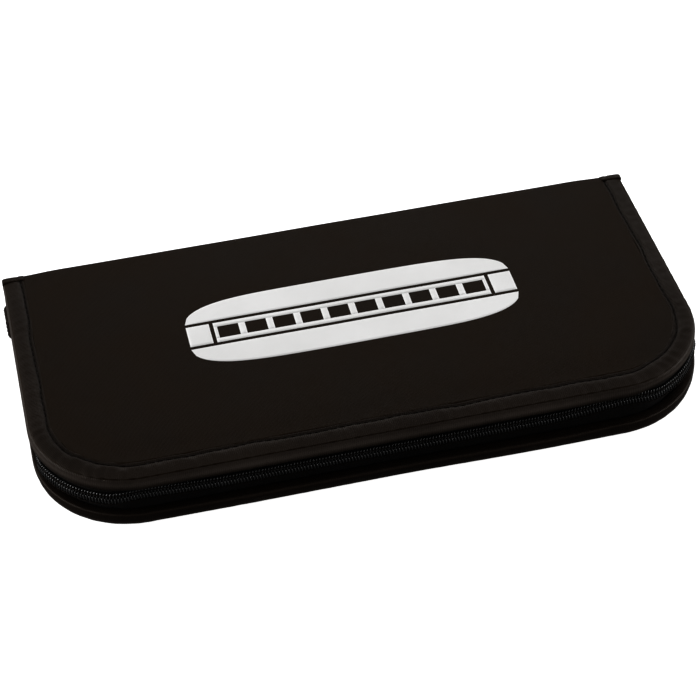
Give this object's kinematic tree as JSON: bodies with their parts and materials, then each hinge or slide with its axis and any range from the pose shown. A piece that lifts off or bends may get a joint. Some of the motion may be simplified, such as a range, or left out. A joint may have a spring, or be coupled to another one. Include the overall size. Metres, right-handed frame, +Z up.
{
  "type": "harmonica case",
  "caption": "Flat zip-around soft case with a stiffened lid, spine and base, round front corners and a row of elastic loops that hold harmonicas side by side.",
  "frame": {"origin": "centre of the underside of the closed case", "axes": "+X along the case, +Y towards the spine, +Z up through the lid"},
  "size_m": [0.2728, 0.127, 0.0255],
  "materials": {
    "cover_nylon": "fine woven nylon, coated, very dark warm black",
    "binding_tape": "ribbed nylon binding tape with a slight gloss",
    "lining_cloth": "brushed short-pile lining",
    "foam_sheet": "thin closed-cell foam",
    "stiff_board": "grey board",
    "zipper_tape": "herringbone zipper tape",
    "zipper_coil": "nylon coil teeth with a soft gloss",
    "slider_metal": "black enamelled zinc, worn at its edges",
    "elastic_band": "ribbed knitted elastic"
  },
  "bodies": {
    "base": {"base_cover": "cover_nylon", "base_foam": "foam_sheet", "base_board": "stiff_board", "base_lining": "lining_cloth", "base_binding": "binding_tape", "base_zip_tape": "zipper_tape", "base_zip_coil": "zipper_coil", "base_top_stop": "slider_metal", "zip_end_tab": "binding_tape", "harmonica_loop_1": "elastic_band", "harmonica_loop_2": "elastic_band", "harmonica_loop_3": "elastic_band", "harmonica_loop_4": "elastic_band", "harmonica_loop_5": "elastic_band", "harmonica_loop_6": "elastic_band", "harmonica_loop_7": "elastic_band"},
    "spine": {"spine_cover": "cover_nylon", "spine_board": "stiff_board", "spine_lining": "lining_cloth", "spine_binding_left": "binding_tape", "spine_binding_right": "binding_tape"},
    "lid": {"lid_cover": "cover_nylon", "lid_foam": "foam_sheet", "lid_board": "stiff_board", "lid_lining": "lining_cloth", "lid_binding": "binding_tape", "lid_zip_tape": "zipper_tape", "lid_zip_coil": "zipper_coil", "lid_top_stop": "slider_metal"},
    "slider": {"slider_body": "slider_metal", "slider_crown": "slider_metal"},
    "pull": {"pull_tab": "slider_metal"}
  },
  "joints": [
    {"name": "spine_fold", "type": "hinge", "parent": "base", "child": "spine", "pos_m": [0, 0.0635, 0], "axis": [-1, 0, 0], "range_deg": [0, 90]},
    {"name": "lid_fold", "type": "hinge", "parent": "spine", "child": "lid", "pos_m": [0, 0.0635, 0.0255], "axis": [-1, 0, 0], "range_deg": [0, 90]},
    {"name": "slider_travel", "type": "slide", "parent": "base", "child": "slider", "axis": [0, -1, 0], "range_m": [0, 0.04]},
    {"name": "pull_swing", "type": "hinge", "parent": "slider", "child": "pull", "pos_m": [0.1351, 0.0235, 0.01275], "axis": [0, 0, 1], "range_deg": [0, 180]}
  ],
  "couplings": [
    {"joint": "lid_fold", "follows": "spine_fold", "ratio": 1}
  ]
}
